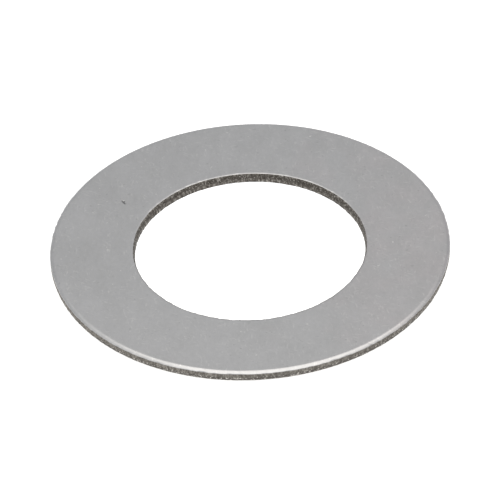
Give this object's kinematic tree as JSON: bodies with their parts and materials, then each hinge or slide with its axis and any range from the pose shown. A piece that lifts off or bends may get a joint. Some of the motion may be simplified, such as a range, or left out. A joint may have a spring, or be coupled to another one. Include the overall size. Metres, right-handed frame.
{
  "type": "thrust washer",
  "caption": "Thin flat steel ring that a needle thrust bearing runs on, with a plain bore, a rim rolled over at the upper face and cut walls.",
  "frame": {"origin": "centre of the bore at the lower face", "axes": "+Z along the bore's axis, out of the upper face, where the rim is rolled over; X and Y lie in the lower face"},
  "size_m": [0.0348, 0.0348, 0.001],
  "materials": {
    "steel": "satin"
  },
  "bodies": {
    "root": {"thrust_washer": "steel"}
  },
  "joints": []
}
